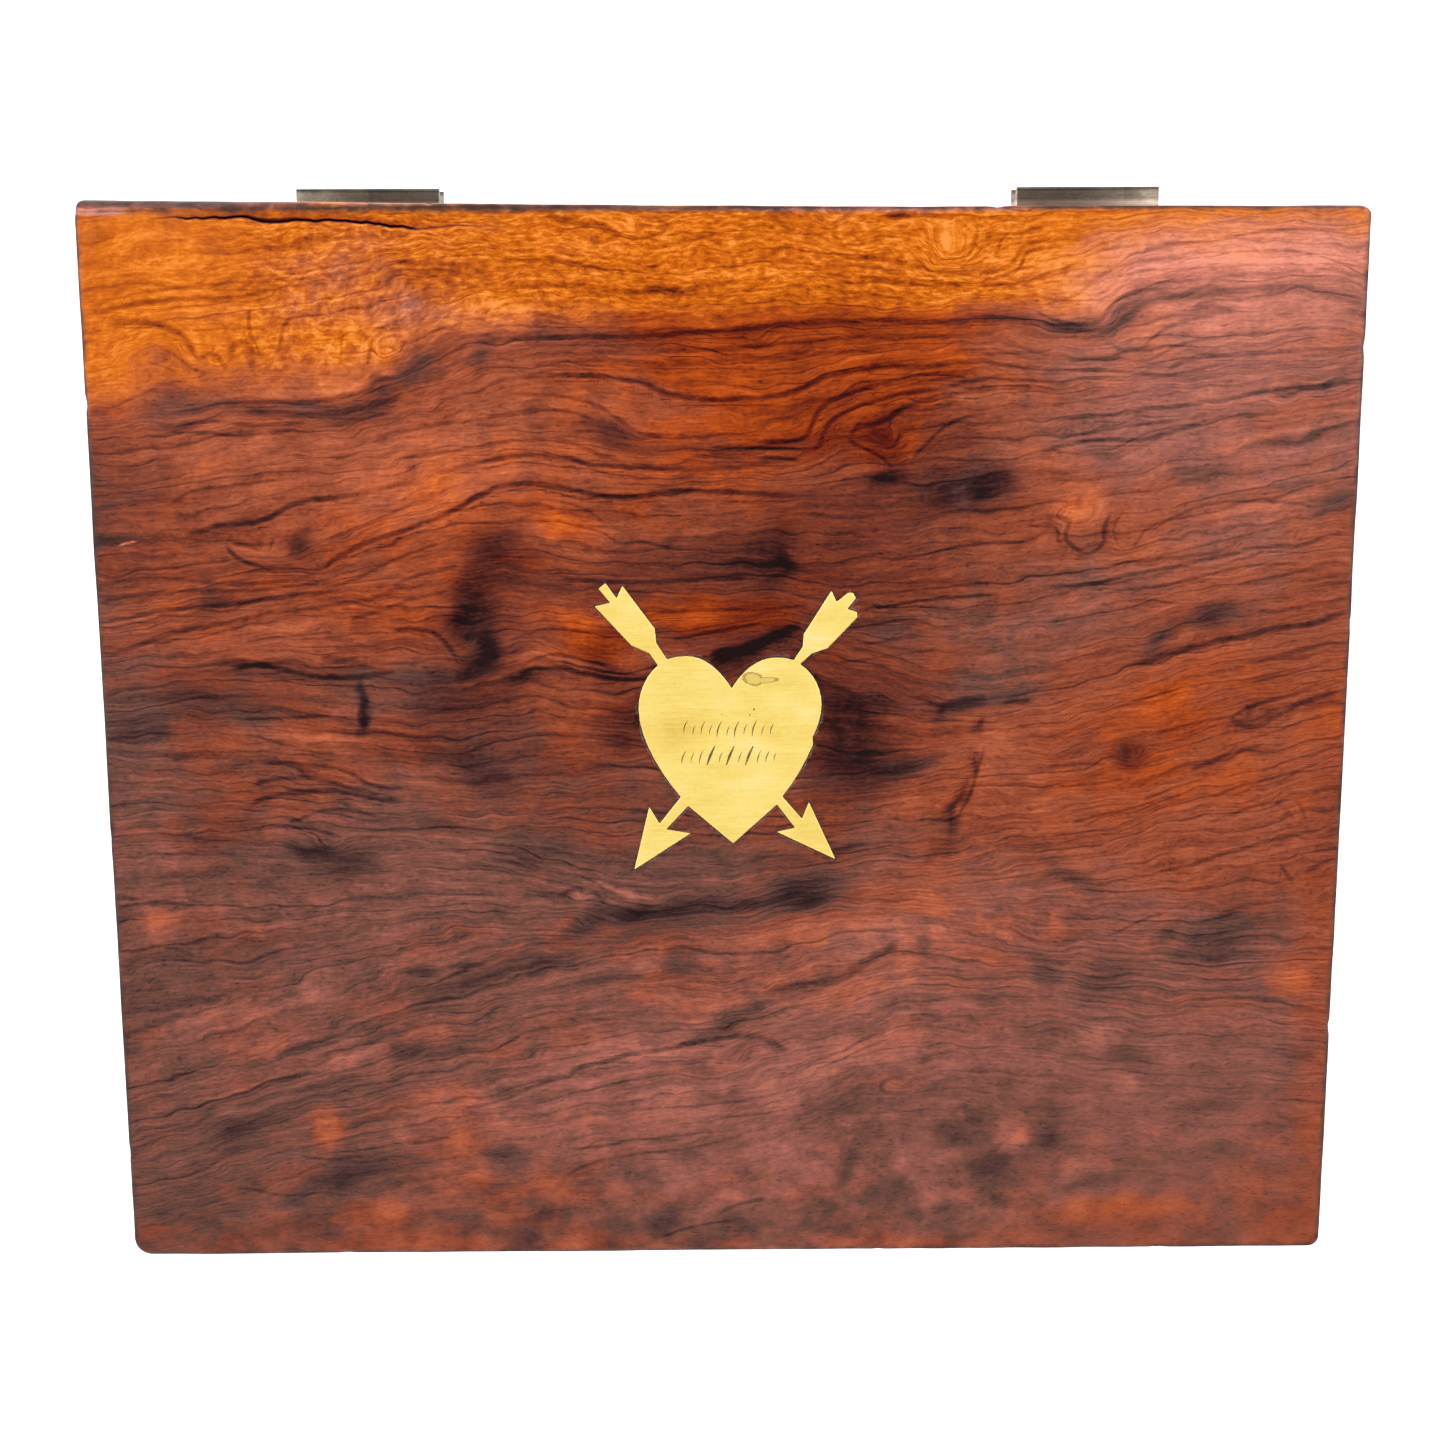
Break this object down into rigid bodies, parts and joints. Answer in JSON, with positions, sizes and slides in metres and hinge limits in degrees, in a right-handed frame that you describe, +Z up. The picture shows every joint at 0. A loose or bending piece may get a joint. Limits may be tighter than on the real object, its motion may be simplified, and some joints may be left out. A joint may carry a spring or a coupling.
{
  "type": "sewing box",
  "caption": "Hinged wooden sewing box with a flat figured-wood lid, a brass heart and crossed arrows let into it, and stop hinges that hold the lid open just past upright.",
  "frame": {"origin": "centre of the underside of the case, on the surface the box stands on", "axes": "+X towards the right of the box seen from its front, +Y towards the hinges at the back, +Z up"},
  "size_m": [0.3, 0.2634, 0.126],
  "materials": {
    "figured_wood": "dark red-brown figured hardwood with an amber edge and dark clouds, old satin polish",
    "base_wood": "plain brown hardwood, dull and unpolished",
    "pale_brass": "pale yellow brass, finely brushed, worn flat with the wood",
    "aged_brass": "brown tarnished brass, brighter where it is rubbed",
    "screw_steel": "dulled countersunk screws"
  },
  "bodies": {
    "case": {"case_front_board": "figured_wood", "case_right_board": "figured_wood", "case_back_board": "figured_wood", "case_left_board": "figured_wood", "base_board": "base_wood", "left_hinge_case_leaf": "aged_brass", "left_hinge_pin": "aged_brass", "left_hinge_case_screw_1": "screw_steel", "left_hinge_case_screw_2": "screw_steel", "left_hinge_case_screw_3": "screw_steel", "right_hinge_case_leaf": "aged_brass", "right_hinge_pin": "aged_brass", "right_hinge_case_screw_1": "screw_steel", "right_hinge_case_screw_2": "screw_steel", "right_hinge_case_screw_3": "screw_steel"},
    "lid": {"lid_front_rail": "figured_wood", "lid_right_rail": "figured_wood", "lid_back_rail": "figured_wood", "lid_left_rail": "figured_wood", "lid_top_board": "figured_wood", "heart_and_arrows_inlay": "pale_brass", "left_hinge_lid_leaf": "aged_brass", "left_hinge_lid_screw_1": "screw_steel", "left_hinge_lid_screw_2": "screw_steel", "left_hinge_lid_screw_3": "screw_steel", "right_hinge_lid_leaf": "aged_brass", "right_hinge_lid_screw_1": "screw_steel", "right_hinge_lid_screw_2": "screw_steel", "right_hinge_lid_screw_3": "screw_steel"}
  },
  "joints": [
    {"name": "lid_hinge", "type": "hinge", "parent": "case", "child": "lid", "pos_m": [0, 0.1315, 0.094], "axis": [-1, 0, 0], "range_deg": [0, 95]}
  ]
}
